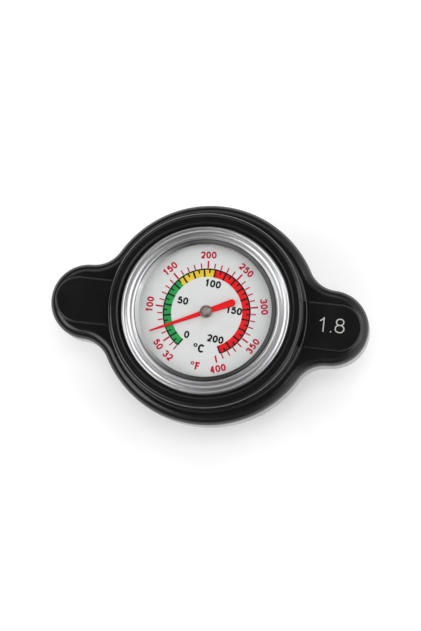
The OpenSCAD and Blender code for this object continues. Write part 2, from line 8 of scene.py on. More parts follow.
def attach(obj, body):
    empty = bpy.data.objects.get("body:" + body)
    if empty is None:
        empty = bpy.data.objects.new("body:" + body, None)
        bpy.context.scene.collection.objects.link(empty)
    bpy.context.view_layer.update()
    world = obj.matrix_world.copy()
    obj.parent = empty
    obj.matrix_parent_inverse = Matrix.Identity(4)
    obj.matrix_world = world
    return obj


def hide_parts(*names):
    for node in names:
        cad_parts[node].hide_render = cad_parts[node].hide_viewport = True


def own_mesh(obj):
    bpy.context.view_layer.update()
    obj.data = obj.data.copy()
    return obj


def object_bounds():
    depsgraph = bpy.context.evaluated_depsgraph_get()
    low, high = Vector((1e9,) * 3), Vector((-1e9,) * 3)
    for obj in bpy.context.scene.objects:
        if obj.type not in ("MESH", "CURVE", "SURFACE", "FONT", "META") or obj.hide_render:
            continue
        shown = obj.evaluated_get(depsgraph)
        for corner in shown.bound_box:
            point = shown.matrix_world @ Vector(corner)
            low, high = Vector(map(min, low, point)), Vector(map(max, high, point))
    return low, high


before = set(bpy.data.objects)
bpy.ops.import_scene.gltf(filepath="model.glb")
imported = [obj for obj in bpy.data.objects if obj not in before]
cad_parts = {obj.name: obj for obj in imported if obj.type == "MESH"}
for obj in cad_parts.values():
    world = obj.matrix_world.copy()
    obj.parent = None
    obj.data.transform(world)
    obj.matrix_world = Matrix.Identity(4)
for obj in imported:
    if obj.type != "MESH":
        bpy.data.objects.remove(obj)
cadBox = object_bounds()
scene = bpy.context.scene
mm = 0.001
print("frame loaded:", len(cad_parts), "nodes")

cameraSettings = {
    "azimuth": 45.3,        # degrees round the cap
    "elevation": 79.9,      # degrees above the floor
    "roll": -38.6,          # brings the wings nearly level in the picture
    "distance": 550 * mm,
    "lens": 133.4,          # for the picture's long side
    "clip": (0.01, 20),
    "aimHeight": 12.4 * mm,
    "aimRight": 1.31 * mm,  # the cap sits a little left of and above the middle
    "aimDown": 1.25 * mm,
}


def addCamera(s):
    around, above, roll = (math.radians(s[k]) for k in ("azimuth", "elevation", "roll"))
    back = Vector((math.sin(around) * math.cos(above), -math.cos(around) * math.cos(above), math.sin(above)))
    level = Vector((math.cos(around), math.sin(around), 0))
    upright = back.cross(level)
    right = math.cos(roll) * level + math.sin(roll) * upright
    up = back.cross(right)
    aim = Vector((0, 0, s["aimHeight"])) + s["aimRight"] * right - s["aimDown"] * up
    data = bpy.data.cameras.new("photoCamera")
    data.lens = s["lens"]
    data.clip_start, data.clip_end = s["clip"]
    camera = bpy.data.objects.new("photoCamera", data)
    scene.collection.objects.link(camera)
    place = Matrix((right, up, back)).transposed().to_4x4()
    place.translation = aim + s["distance"] * back
    camera.matrix_world = place
    scene.camera = camera


addCamera(cameraSettings)
scene.view_settings.view_transform = "Standard"
print("camera placed")


# node helpers

mixSockets = {"FLOAT": (2, 3, 0), "VECTOR": (4, 5, 1), "RGBA": (6, 7, 2)}  # first, second and result of a mix


def feed(tree, socket, value):  # links another node's socket, or sets a plain value
    if isinstance(value, bpy.types.NodeSocket):
        tree.links.new(value, socket)
    else:
        socket.default_value = value


def addNode(tree, kind, values=None, **settings):
    node = tree.nodes.new(kind)
    for key, value in settings.items():
        setattr(node, key, value)
    for key, value in (values or {}).items():
        feed(tree, node.inputs[key], value)
    return node


def mathNode(tree, operation, first, second=0.0):
    return addNode(tree, "ShaderNodeMath", {0: first, 1: second}, operation=operation).outputs[0]


def rampNode(tree, source, low, high, toLow=0.0, toHigh=1.0):
    node = addNode(tree, "ShaderNodeMapRange",
                   {"Value": source, "From Min": low, "From Max": high, "To Min": toLow, "To Max": toHigh})
    return node.outputs["Result"]


def mixNode(tree, kind, mask, first, second):
    firstAt, secondAt, resultAt = mixSockets[kind]
    if kind == "RGBA":
        first, second = ((*c, 1) if isinstance(c, tuple) else c for c in (first, second))
    mix = addNode(tree, "ShaderNodeMix", {0: mask, firstAt: first, secondAt: second}, data_type=kind)
    return mix.outputs[resultAt]


# node groups for the finishes that several pieces share

def newGroup(name, inputs, outputs):
    group = bpy.data.node_groups.new(name, "ShaderNodeTree")
    for label, value in inputs.items():
        group.interface.new_socket(label, in_out="INPUT", socket_type="NodeSocketFloat").default_value = value
    for label in outputs:
        group.interface.new_socket(label, in_out="OUTPUT", socket_type="NodeSocketFloat")
    return group, group.nodes.new("NodeGroupInput"), group.nodes.new("NodeGroupOutput")


def makeMouldGrain():  # fine spark-eroded grain of a moulding, with larger soft patches
    group, start, end = newGroup("mouldGrain", {"Cells": 4000.0, "Patches": 120.0}, ("Height", "Tone"))
    place = addNode(group, "ShaderNodeTexCoord")
    for scale, detail, output in (("Cells", 3.0, "Height"), ("Patches", 4.0, "Tone")):
        noise = addNode(group, "ShaderNodeTexNoise",
                        {"Vector": place.outputs["Object"], "Scale": start.outputs[scale],
                         "Detail": detail, "Roughness": 0.6})
        feed(group, end.inputs[output], noise.outputs["Fac"])
    return group


def makeTurnedRings():  # fine circles left by a lathe tool or a spinning cloth
    group, start, end = newGroup("turnedRings", {"Lines": 9000.0, "Bands": 900.0}, ("Height", "Tone", "Radius"))
    place = addNode(group, "ShaderNodeTexCoord")
    split = addNode(group, "ShaderNodeSeparateXYZ", {0: place.outputs["Object"]})
    squares = [mathNode(group, "POWER", split.outputs[i], 2.0) for i in (0, 1)]
    radius = mathNode(group, "SQRT", mathNode(group, "ADD", *squares))
    feed(group, end.inputs["Radius"], radius)
    climb = 0.8  # upright walls carry rings too
    along = mathNode(group, "ADD", radius, mathNode(group, "MULTIPLY", split.outputs[2], climb))
    for scale, output in (("Lines", "Height"), ("Bands", "Tone")):
        at = mathNode(group, "MULTIPLY", along, start.outputs[scale])
        noise = addNode(group, "ShaderNodeTexNoise", noise_dimensions="1D",
                        values={"W": at, "Scale": 1.0, "Detail": 2.0})
        feed(group, end.inputs[output], noise.outputs["Fac"])
    return group


def makeDrawnStreaks():  # long streaks of a tube or wire that was drawn or ground along Z
    group, start, end = newGroup("drawnStreaks", {"Across": 5000.0, "Along": 90.0}, ("Height", "Tone"))
    place = addNode(group, "ShaderNodeTexCoord")
    across, along = start.outputs["Across"], start.outputs["Along"]
    size = addNode(group, "ShaderNodeCombineXYZ", {0: across, 1: across, 2: along})
    stretch = addNode(group, "ShaderNodeVectorMath", operation="MULTIPLY",
                      values={0: place.outputs["Object"], 1: size.outputs[0]})
    for scale, output in ((1.0, "Height"), (0.12, "Tone")):
        noise = addNode(group, "ShaderNodeTexNoise",
                        {"Vector": stretch.outputs[0], "Scale": scale, "Detail": 3.0, "Roughness": 0.65})
        feed(group, end.inputs[output], noise.outputs["Fac"])
    return group


def makeHandledMarks():  # smudges on handled surfaces
    group, start, end = newGroup("handledMarks", {"Smudges": 180.0}, ("Smudge",))
    place = addNode(group, "ShaderNodeTexCoord")
    noise = addNode(group, "ShaderNodeTexNoise",
                    {"Vector": place.outputs["Object"], "Scale": start.outputs["Smudges"],
                     "Detail": 5.0, "Roughness": 0.55, "Distortion": 0.6})
    feed(group, end.inputs["Smudge"], rampNode(group, noise.outputs["Fac"], 0.45, 0.75))
    return group


grainGroup = makeMouldGrain()
ringGroup = makeTurnedRings()
streakGroup = makeDrawnStreaks()
marksGroup = makeHandledMarks()
print("finish groups made")


# materials

noiseSpan = (0.3, 0.7)  # where most values of a noise lie


def newMaterial(name, metallic=0.0, specular=0.5):
    made = bpy.data.materials.new(name)
    made.use_nodes = True
    shader = made.node_tree.nodes["Principled BSDF"]
    shader.inputs["Metallic"].default_value = metallic
    shader.inputs["Specular IOR Level"].default_value = specular
    return made, made.node_tree, shader


def placeGroup(tree, group, **values):
    return addNode(tree, "ShaderNodeGroup", values, node_tree=group)


def addBump(tree, shader, height, strength, depth, **values):
    bump = addNode(tree, "ShaderNodeBump", {"Height": height, "Strength": strength, "Distance": depth, **values})
    feed(tree, shader.inputs["Normal"], bump.outputs["Normal"])


def brushRound(tree, shader, amount):  # lines run round Z, so highlights fan out along the radius
    shader.inputs["Anisotropic"].default_value = amount
    shader.inputs["Anisotropic Rotation"].default_value = 0.25  # a quarter turn
    tangent = addNode(tree, "ShaderNodeTangent", direction_type="RADIAL", axis="Z")
    feed(tree, shader.inputs["Tangent"], tangent.outputs[0])


def texturedFinish(name, s):  # a texture's tone sets colour and roughness, its height a fine bump
    made, tree, shader = newMaterial(name, s.get("metallic", 0.0), s.get("specular", 0.5))
    texture = placeGroup(tree, s["texture"], **s["scales"])
    tone = texture.outputs["Tone"]
    colour = mixNode(tree, "RGBA", rampNode(tree, tone, *noiseSpan), *s["colours"])
    feed(tree, shader.inputs["Base Color"], colour)
    feed(tree, shader.inputs["Roughness"], rampNode(tree, tone, *noiseSpan, *s["rough"]))
    addBump(tree, shader, texture.outputs["Height"], *s["bump"])
    if "anisotropic" in s:
        brushRound(tree, shader, s["anisotropic"])
    return made


# finishes of the plainer pieces; a bump is a strength and a depth
plainLooks = {
    "ringSteel": {"texture": ringGroup, "scales": {"Lines": 6000.0, "Bands": 700.0}, "metallic": 1.0,
                  "colours": ((0.80, 0.80, 0.81), (0.86, 0.86, 0.87)), "rough": (0.40, 0.48),
                  "bump": (0.03, 0.01 * mm)},
    "stemSteel": {"texture": streakGroup, "scales": {"Across": 6000.0, "Along": 110.0}, "metallic": 1.0,
                  "colours": ((0.44, 0.45, 0.46), (0.60, 0.61, 0.62)), "rough": (0.20, 0.34),
                  "bump": (0.10, 0.02 * mm)},
    "springSteel": {"texture": streakGroup, "scales": {"Across": 2500.0, "Along": 2500.0}, "metallic": 1.0,
                    "colours": ((0.42, 0.43, 0.45), (0.58, 0.59, 0.60)), "rough": (0.20, 0.32),
                    "bump": (0.08, 0.02 * mm)},
    "valveBrass": {"texture": ringGroup, "scales": {"Lines": 7000.0, "Bands": 600.0}, "metallic": 1.0,
                   "colours": ((0.60, 0.43, 0.18), (0.78, 0.60, 0.29)), "rough": (0.22, 0.36),
                   "bump": (0.14, 0.02 * mm), "anisotropic": 0.35},
    "hubMetal": {"texture": streakGroup, "scales": {"Across": 9000.0, "Along": 9000.0}, "metallic": 1.0,
                 "colours": ((0.15, 0.12, 0.105), (0.58, 0.53, 0.51)), "rough": (0.36, 0.55),
                 "bump": (0.20, 0.03 * mm)},
    "plainSteel": {"texture": grainGroup, "scales": {"Cells": 2600.0, "Patches": 420.0}, "metallic": 1.0,
                   "colours": ((0.40, 0.41, 0.43), (0.56, 0.56, 0.56)), "rough": (0.26, 0.42),
                   "bump": (0.10, 0.03 * mm)},
    "bimetalStrip": {"texture": grainGroup, "scales": {"Cells": 3000.0, "Patches": 500.0}, "metallic": 1.0,
                     "colours": ((0.50, 0.40, 0.26), (0.64, 0.53, 0.36)), "rough": (0.28, 0.4),
                     "bump": (0.08, 0.02 * mm)},
    "sealRubber": {"texture": grainGroup, "scales": {"Cells": 3800.0, "Patches": 260.0}, "specular": 0.35,
                   "colours": ((0.012, 0.012, 0.012), (0.026, 0.026, 0.025)), "rough": (0.55, 0.72),
                   "bump": (0.25, 0.03 * mm)},
    "washerFibre": {"texture": grainGroup, "scales": {"Cells": 2200.0, "Patches": 600.0}, "specular": 0.3,
                    "colours": ((0.22, 0.06, 0.035), (0.34, 0.11, 0.06)), "rough": (0.6, 0.8),
                    "bump": (0.3, 0.04 * mm)},
    "dialSilver": {"texture": grainGroup, "scales": {"Cells": 7000.0, "Patches": 160.0},
                   "colours": ((0.625, 0.627, 0.63), (0.665, 0.667, 0.67)), "rough": (0.42, 0.52),
                   "bump": (0.06, 0.01 * mm)},
    "pointerRed": {"texture": grainGroup, "scales": {"Cells": 6000.0, "Patches": 500.0}, "specular": 0.08,
                   "colours": ((0.77, 0.007, 0.010), (0.83, 0.011, 0.014)), "rough": (0.40, 0.50),
                   "bump": (0.05, 0.01 * mm)},
}

inkLook = {"texture": grainGroup, "scales": {"Cells": 9000.0, "Patches": 1500.0}, "specular": 0.05,
           "rough": (0.45, 0.58), "bump": (0.05, 0.01 * mm)}
inkThinning = (1.12, 0.004)  # gain and lift of the colour where the ink is thin
inkColours = {
    "inkBlack": (0.010, 0.010, 0.011), "inkCrimson": (0.46, 0.012, 0.038), "inkRed": (0.68, 0.009, 0.012),
    "inkYellow": (0.66, 0.47, 0.036), "inkGreen": (0.020, 0.29, 0.066), "inkGrey": (0.54, 0.54, 0.52),
}


def inkFinish(name, colour):
    gain, lift = inkThinning
    thin = tuple(min(1.0, c * gain + lift) for c in colour)
    return texturedFinish(name, {**inkLook, "colours": (colour, thin)})


shellLook = {
    "colours": ((0.0058, 0.0058, 0.0060), (0.0078, 0.0078, 0.0080)), "rough": (0.17, 0.23), "specular": 0.55,
    "scales": {"Cells": 5200.0, "Patches": 90.0}, "smudges": 110.0, "bump": (0.10, 0.02 * mm),
    # the groove round the bezel is painted a paler grey, which ends between these radii
    "groove": (20.80 * mm, 20.84 * mm), "grooveGrey": (0.10, 0.098, 0.095),
}


def shellFinish(s):
    made, tree, shader = newMaterial("shellPlastic", specular=s["specular"])
    grain = placeGroup(tree, grainGroup, **s["scales"])
    clean = mixNode(tree, "RGBA", rampNode(tree, grain.outputs["Tone"], *noiseSpan), *s["colours"])
    radius = placeGroup(tree, ringGroup).outputs["Radius"]
    # a paler grey is painted in the groove round the bezel
    inGroove = rampNode(tree, radius, *s["groove"], 1.0, 0.0)
    feed(tree, shader.inputs["Base Color"], mixNode(tree, "RGBA", inGroove, clean, s["grooveGrey"]))
    marks = placeGroup(tree, marksGroup, Smudges=s["smudges"])
    feed(tree, shader.inputs["Roughness"], rampNode(tree, marks.outputs["Smudge"], 0.0, 1.0, *s["rough"]))
    addBump(tree, shader, grain.outputs["Height"], *s["bump"])
    return made


bezelLook = {
    # the polished slope lies inside this radius, the brushed band outside it
    "slopeEdge": 16.95 * mm, "edgeBlend": 0.03 * mm,
    # where each rolled arc of the section begins, and the radius and height of its middle, slope first
    "arcs": ((0.0, 22.4 * mm, 2.7 * mm), (17.06 * mm, 17.3 * mm, 12.70 * mm),
             (17.65 * mm, 18.6 * mm, 11.79 * mm), (19.22 * mm, 19.575 * mm, 12.225 * mm)),
    "rolledAbove": 12.24 * mm,  # the arcs lie above this height
    "slopeColour": (0.47, 0.47, 0.48), "slopeRough": 0.14,
    # radius and half width of the dark line painted along the fold, a painted shade in its crease
    "foldShadeLine": (16.74 * mm, 0.16 * mm), "foldShadeColour": (0.16, 0.16, 0.165),
    "scales": {"Lines": 11000.0, "Bands": 2600.0}, "lineDepth": 0.00004 * mm, "anisotropic": 0.75,
    "bandColours": ((0.70, 0.70, 0.71), (0.74, 0.74, 0.75)), "bandRough": (0.28, 0.32),
}


def steppedValue(tree, source, levels):  # takes each level from its place on
    value = levels[0][1]
    for start, level in levels[1:]:
        value = mixNode(tree, "FLOAT", mathNode(tree, "GREATER_THAN", source, start), value, level)
    return value


def rolledNormal(tree, radius, s):  # smooth normals of the rolled section, free of the mesh's seams
    place = addNode(tree, "ShaderNodeTexCoord")
    split = addNode(tree, "ShaderNodeSeparateXYZ", {0: place.outputs["Object"]})
    middle, height = (steppedValue(tree, radius, [(arc[0], arc[i]) for arc in s["arcs"]]) for i in (1, 2))
    share = mathNode(tree, "DIVIDE", mathNode(tree, "SUBTRACT", radius, middle), radius)
    facing = addNode(tree, "ShaderNodeCombineXYZ", {
        0: mathNode(tree, "MULTIPLY", split.outputs[0], share),
        1: mathNode(tree, "MULTIPLY", split.outputs[1], share),
        2: mathNode(tree, "SUBTRACT", split.outputs[2], height),
    })
    turned = addNode(tree, "ShaderNodeVectorTransform", {0: facing.outputs[0]},
                     vector_type="NORMAL", convert_from="OBJECT", convert_to="WORLD")
    rolled = mathNode(tree, "GREATER_THAN", split.outputs[2], s["rolledAbove"])
    surface = addNode(tree, "ShaderNodeNewGeometry")
    return mixNode(tree, "VECTOR", rolled, surface.outputs["Normal"], turned.outputs[0])


def bezelFinish(s):
    made, tree, shader = newMaterial("bezelSteel", metallic=1.0)
    rings = placeGroup(tree, ringGroup, **s["scales"])
    radius = rings.outputs["Radius"]
    tone = rampNode(tree, rings.outputs["Tone"], *noiseSpan)
    edge, blend = s["slopeEdge"], s["edgeBlend"]
    slope = rampNode(tree, radius, edge - blend, edge + blend, 1.0, 0.0)
    band = mixNode(tree, "RGBA", tone, *s["bandColours"])
    whole = mixNode(tree, "RGBA", slope, band, s["slopeColour"])
    middle, reach = s["foldShadeLine"]
    # painted shade: a dark line along the fold crease of the bezel
    offset = mathNode(tree, "ABSOLUTE", mathNode(tree, "SUBTRACT", radius, middle))
    foldShadeLine = rampNode(tree, offset, reach / 2, reach, 1.0, 0.0)
    feed(tree, shader.inputs["Base Color"], mixNode(tree, "RGBA", foldShadeLine, whole, s["foldShadeColour"]))
    bandRough = rampNode(tree, tone, 0.0, 1.0, *s["bandRough"])
    feed(tree, shader.inputs["Roughness"], mixNode(tree, "FLOAT", slope, bandRough, s["slopeRough"]))
    lines = mathNode(tree, "MULTIPLY", rings.outputs["Height"], s["lineDepth"])
    addBump(tree, shader, lines, 1.0, 1.0, Normal=rolledNormal(tree, radius, s))
    brushRound(tree, shader, s["anisotropic"])
    return made


glassLook = {"colour": (0.985, 0.995, 0.99), "ior": 1.5, "smudges": 90.0, "rough": (0.0, 0.012),
             "shadowTint": (0.95, 0.96, 0.955)}


def glassFinish(s):
    made, tree, shader = newMaterial("lensGlass")
    shader.inputs["Base Color"].default_value = (*s["colour"], 1)
    shader.inputs["Transmission Weight"].default_value = 1.0
    shader.inputs["IOR"].default_value = s["ior"]
    marks = placeGroup(tree, marksGroup, Smudges=s["smudges"])
    feed(tree, shader.inputs["Roughness"], rampNode(tree, marks.outputs["Smudge"], 0.0, 1.0, *s["rough"]))
    path = addNode(tree, "ShaderNodeLightPath")
    clear = addNode(tree, "ShaderNodeBsdfTransparent", {"Color": (*s["shadowTint"], 1)})
    mix = addNode(tree, "ShaderNodeMixShader",
                  {0: path.outputs["Is Shadow Ray"], 1: shader.outputs[0], 2: clear.outputs[0]})
    feed(tree, tree.nodes["Material Output"].inputs["Surface"], mix.outputs[0])
    return made


finishes = {"shellPlastic": shellFinish(shellLook), "lensGlass": glassFinish(glassLook),
            "bezelSteel": bezelFinish(bezelLook)}
for name, look in plainLooks.items():
    finishes[name] = texturedFinish(name, look)
for name, colour in inkColours.items():
    finishes[name] = inkFinish(name, colour)

finishNodes = {
    "shellPlastic": ("cap_shell",), "bezelSteel": ("bezel",), "lensGlass": ("lens",),
    "dialSilver": ("dial",), "ringSteel": ("dial_spacer",), "pointerRed": ("pointer",),
    "hubMetal": ("pointer_hub",), "bimetalStrip": ("bimetal_coil",), "washerFibre": ("case_washer",),
    "plainSteel": ("lock_plate", "gauge_case", "clamp_nut", "spring_seat"),
    "stemSteel": ("stem_tube", "stem_plug", "stem_collar", "staff"),
    "springSteel": ("swivel_clip", "diaphragm", "main_spring", "vacuum_clip", "vacuum_spring"),
    "valveBrass": ("stem_bush", "upper_bearing", "lower_bearing", "pressure_plate", "vacuum_disc"),
    "sealRubber": ("lens_gasket", "neck_gasket", "pressure_seal", "vacuum_seal"),
}
for name, nodeNames in finishNodes.items():
    for nodeName in nodeNames:
        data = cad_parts[nodeName].data
        data.materials.clear()
        data.materials.append(finishes[name])
print("finishes on", sum(len(nodeNames) for nodeNames in finishNodes.values()), "nodes")


# mesh helpers: shapes are written in millimetres, angles in degrees

weldGap = 1e-6
sharpAngle = 40  # edges that turn more than this stay sharp


def addPiece(name, shape, finish, body):
    bmesh.ops.remove_doubles(shape, verts=shape.verts, dist=weldGap)
    bmesh.ops.recalc_face_normals(shape, faces=shape.faces)
    bmesh.ops.scale(shape, vec=(mm, mm, mm), verts=shape.verts)
    data = bpy.data.meshes.new(name)
    shape.to_mesh(data)
    shape.free()
    data.shade_smooth()
    data.set_sharp_from_angle(angle=math.radians(sharpAngle))
    data.materials.append(finishes[finish])
    piece = bpy.data.objects.new(name, data)
    scene.collection.objects.link(piece)
    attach(piece, body)
    return piece


def addLoops(shape, loops, capEnds=True):  # skins a row of equal closed loops of points
    rows = [[shape.verts.new(p) for p in loop] for loop in loops]
    count = len(rows[0])
    for a, b in zip(rows, rows[1:]):
        for i in range(count):
            j = (i + 1) % count
            shape.faces.new((a[i], a[j], b[j], b[i]))
    if capEnds:
        shape.faces.new(rows[0][::-1])
        shape.faces.new(rows[-1])


def polar(radius, angle):
    a = math.radians(angle)
    return radius * math.cos(a), radius * math.sin(a)


def axesAt(angle):  # the directions outwards and along at a place on a circle
    out = Vector((*polar(1, angle), 0))
    return out, Vector((-out.y, out.x, 0))


def arcBlock(shape, inner, outer, low, high, fromAngle, toAngle, stepAngle=1.5):  # a piece of a flat ring
    steps = max(1, math.ceil(abs(toAngle - fromAngle) / stepAngle))
    corners = ((inner, low), (outer, low), (outer, high), (inner, high))
    angles = [fromAngle + (toAngle - fromAngle) * k / steps for k in range(steps + 1)]
    addLoops(shape, [[(*polar(r, angle), z) for r, z in corners] for angle in angles])


def barBlock(shape, inner, outer, width, low, high, angle):  # a short bar along a radius
    out, along = axesAt(angle)
    corners = ((-1, low), (1, low), (1, high), (-1, high))
    addLoops(shape, [[out * r + along * side * width / 2 + Vector((0, 0, z)) for side, z in corners]
                     for r in (inner, outer)])


def ovalPath(middle, reach, start=0, stop=360, square=2.2, stepAngle=12, fewest=8):  # part of a squared oval
    sweep = stop - start
    count = max(fewest, round(abs(sweep) / stepAngle))
    path = []
    for k in range(count if abs(sweep) == 360 else count + 1):
        a = math.radians(start + sweep * k / count)
        path.append(tuple(m + r * math.copysign(abs(t) ** (2 / square), t)
                          for m, r, t in zip(middle, reach, (math.cos(a), math.sin(a)))))
    return path


# strokes of the figures: across from -1 to 1 and up from 0 to 1, each with a mark for a closed stroke;
# stems run past that, and are cut level with the round figures
letterStrokes = {
    "0": ((True, ovalPath((0, 0.5), (1, 0.5))),),
    "1": ((False, [(0.25, -0.2), (0.25, 1.2)]), (False, [(0.25, 1.02), (-0.15, 0.86), (-0.7, 0.76)])),
    "2": ((False, ovalPath((0, 0.7), (0.95, 0.3), 172, -28) + [(0.1, 0.25), (-0.85, 0.02)]),
          (False, [(-1.18, 0), (1.0, 0)])),
    "3": ((False, ovalPath((-0.05, 0.76), (0.88, 0.24), 168, -90)),
          (False, ovalPath((-0.05, 0.27), (1.0, 0.27), 95, -168))),
    "4": ((False, [(0.45, -0.2), (0.45, 1.2)]), (False, [(0.4, 1.04), (-1.0, 0.3)]),
          (False, [(-1.2, 0.27), (1.05, 0.27)])),
    "5": ((False, [(-0.75, 1), (0.85, 1)]), (False, [(-0.62, 1.0), (-0.82, 0.48)]),
          (False, ovalPath((-0.02, 0.33), (0.98, 0.33), 148, -165))),
    "8": ((True, ovalPath((0, 0.77), (0.84, 0.23))), (True, ovalPath((0, 0.27), (1.0, 0.27)))),
    "C": ((False, ovalPath((0, 0.5), (1.15, 0.5), 38, 322)),),
    "F": ((False, [(-0.75, -0.2), (-0.75, 1.2)]), (False, [(-0.75, 1), (1.0, 1)]),
          (False, [(-0.75, 0.53), (0.75, 0.53)])),
    "°": ((True, ovalPath((0, 0.84), (0.7, 0.2), square=2)),),
    ".": ((False, [(0, -0.08), (0, 0.06)]),),
}
letterStep = 0.77  # room for a figure, as a share of its height
letterSteps = {".": 0.42, "°": 0.56, "C": 0.90}
letterWeights = {"°": 0.62}
mitreLimit = 0.65   # keeps sharp bends of a stroke from spreading
strokeLift = 0.002  # each further stroke ends a little higher, so crossing strokes share no face


def addStroke(shape, points, width, low, high, closed):
    loops = []
    last = len(points) - 1
    for i, point in enumerate(points):
        here = [points[j] - points[j - 1] for j in (i, (i + 1) % len(points)) if closed or 0 < j <= last]
        here = [d.normalized() for d in here if d.length > 0]
        along = sum(here, Vector((0, 0))).normalized()
        side = Vector((-along.y, along.x)) * width / 2 / max(mitreLimit, along.dot(here[0]))
        loops.append([(*(point + s * side), z) for s, z in ((-1, low), (1, low), (1, high), (-1, high))])
    addLoops(shape, loops + loops[:1] if closed else loops, capEnds=not closed)


def addWords(shape, words, place, angle, height, low, thick, weight, half):
    steps = [letterSteps.get(letter, letterStep) for letter in words]
    turn = Matrix.Rotation(math.radians(angle), 2)
    at = -sum(steps) / 2
    for letter, room in zip(words, steps):
        width = weight * height * letterWeights.get(letter, 1.0)
        for k, (closed, path) in enumerate(letterStrokes[letter]):
            points = []
            for u, v in path:
                across = at + room / 2 + u * (half - weight / 2)
                up = max(-0.5, min(0.5, (v - 0.5) * (1 - weight)))
                points.append(Vector(place) + turn @ (height * Vector((across, up))))
            addStroke(shape, points, width, low, low + thick + k * strokeLift, closed)
        at += room


# printed dial

dialPrint = {
    "faceHeight": 8.5,          # top of the dial plate
    "sunk": 0.02,               # how far the ink solids reach into the plate
    "bandInk": 0.015, "lineInk": 0.025,
    "topAngle": 85.0,           # where the dial's own top points, 90 is along Y
    "halfSweep": 150.0, "perDegree": 1.5,
    "celsius": range(0, 201, 5), "fahrenheit": (32, *range(40, 401, 10)),
    "bandInner": 8.46, "bandOuter": 10.33,
    "zones": (("Green", 0, 65), ("Yellow", 65, 100), ("Red", 100, 200)),
    "lineWidth": 0.34, "tickWidth": 0.42,
    "shortTick": (0.95, 0.85),  # length, and share of the width
    "outerTicks": 10.56, "minorTick": (11.78, 0.32), "majorTick": (12.3, 0.42),  # start; end and width
    "figures": {"weight": 0.235, "half": 0.355},  # stroke and half width, as shares of the height
    "outerNumbers": 13.72, "outerHeight": 1.7, "innerHeight": 1.77,
    "outerMarks": (32, 50, 100, 150, 200, 250, 300, 350, 400),
    "headsOut": (100, 300),     # the outer numbers between these stand with their heads outwards
    "innerMarks": ((0, 7.05), (50, 6.35), (100, 6.95), (150, 6.48), (200, 6.75)),  # number and radius
    "signs": (("°C", 8.7, 2.05, "inkBlack"), ("°F", 12.95, 1.9, "inkCrimson")),
}


def dialAngle(celsius, s=dialPrint):
    return s["topAngle"] + s["halfSweep"] - s["perDegree"] * celsius


def fahrenheitAngle(fahrenheit):
    return dialAngle((fahrenheit - 32) / 1.8)


def printScale(s, low, bandTop, lineTop):
    for colour, start, stop in s["zones"]:
        shape = bmesh.new()
        arcBlock(shape, s["bandInner"], s["bandOuter"], low, bandTop, dialAngle(start), dialAngle(stop))
        addPiece("scaleBand" + colour, shape, "ink" + colour, "cap")

    shape = bmesh.new()
    half = s["lineWidth"] / 2
    arcBlock(shape, s["bandOuter"] - half, s["bandOuter"] + half, low, lineTop,
             dialAngle(s["celsius"][0]), dialAngle(s["celsius"][-1]))
    shortLength, shortShare = s["shortTick"]
    for celsius in s["celsius"]:
        whole = celsius % 10 == 0
        inner = s["bandInner"] if whole else s["bandOuter"] - shortLength
        width = s["tickWidth"] if whole else s["tickWidth"] * shortShare
        barBlock(shape, inner, s["bandOuter"], width, low, lineTop, dialAngle(celsius))
    addPiece("scaleLines", shape, "inkBlack", "cap")

    shape = bmesh.new()
    for fahrenheit in s["fahrenheit"]:
        end, width = s["majorTick"] if fahrenheit % 50 == 0 else s["minorTick"]
        barBlock(shape, s["outerTicks"], end, width, low, lineTop, fahrenheitAngle(fahrenheit))
    addPiece("outerTicks", shape, "inkCrimson", "cap")


def printNumbers(s, low, thick):
    shapes = {"inkCrimson": bmesh.new(), "inkBlack": bmesh.new()}

    def write(ink, words, radius, angle, turn, height):
        addWords(shapes[ink], words, polar(radius, angle), turn, height, low, thick, **s["figures"])

    firstOut, lastOut = s["headsOut"]
    for fahrenheit in s["outerMarks"]:
        angle = fahrenheitAngle(fahrenheit)
        turn = angle - 90 if firstOut <= fahrenheit <= lastOut else angle + 90
        write("inkCrimson", str(fahrenheit), s["outerNumbers"], angle, turn, s["outerHeight"])
    upright = s["topAngle"] - 90
    for celsius, radius in s["innerMarks"]:
        write("inkBlack", str(celsius), radius, dialAngle(celsius), upright, s["innerHeight"])
    for sign, radius, height, ink in s["signs"]:
        write(ink, sign, radius, s["topAngle"] + 180, upright, height)
    addPiece("outerNumbers", shapes["inkCrimson"], "inkCrimson", "cap")
    addPiece("innerNumbers", shapes["inkBlack"], "inkBlack", "cap")


def printDial(s):
    low = s["faceHeight"] - s["sunk"]
    bandTop, lineTop = s["faceHeight"] + s["bandInk"], s["faceHeight"] + s["lineInk"]
    printScale(s, low, bandTop, lineTop)
    printNumbers(s, low, lineTop - low)


printDial(dialPrint)
print("dial printed")


# rating number on one pad

padNumber = {"words": "1.8", "place": (29.55, 0.40), "angle": 1.0, "height": 3.45, "padTop": 7.0,
             "sunk": 0.03, "ink": 0.012, "figures": {"weight": 0.08, "half": 0.335}}


def printPad(s):
    shape = bmesh.new()
    addWords(shape, s["words"], s["place"], s["angle"], s["height"], s["padTop"] - s["sunk"],
             s["sunk"] + s["ink"], **s["figures"])
    addPiece("padNumber", shape, "inkGrey", "cap")


printPad(padNumber)
print("pad numbered")


# pointer: a thin painted blade with soft edges, a rounded tip and a round tail

pointerBlade = {"length": 14.2, "tail": 7.3, "tipWidth": 0.32, "width": 1.15, "tailWidth": 1.7,
                "low": 9.5, "high": 9.9, "edge": 0.09, "edgeShare": 0.6, "corner": 0.3,
                "tipRound": 0.12, "tipLeast": 0.04, "tailLeast": 0.03, "celsius": 20}


